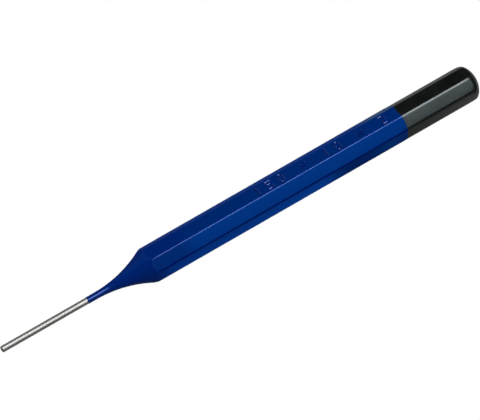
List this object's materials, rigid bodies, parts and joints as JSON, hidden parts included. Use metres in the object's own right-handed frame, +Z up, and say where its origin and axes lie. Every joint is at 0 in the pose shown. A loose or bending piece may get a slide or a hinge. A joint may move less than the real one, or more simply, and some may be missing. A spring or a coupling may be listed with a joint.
{
  "type": "pin punch",
  "caption": "Slim pin punch: eight-sided lacquered shank, crowned black head, turned neck and a straight bright pin for driving pins out of holes.",
  "frame": {"origin": "middle of the length, on the floor under the punch, which lies on one flat of its shank", "axes": "+X along the punch towards the struck head, -X towards the tip of the pin, +Z up through the stamped flat, +Y to the side"},
  "size_m": [0.15, 0.0096, 0.0096],
  "materials": {
    "ground_steel": "bright ground steel with fine turning marks round the pin",
    "blue_lacquer": "glossy royal blue lacquer over forged steel",
    "black_lacquer": "glossy black dipped lacquer over forged steel"
  },
  "bodies": {
    "root": {"steel_blank": "ground_steel", "blue_lacquer": "blue_lacquer", "black_lacquer": "black_lacquer"}
  },
  "joints": []
}
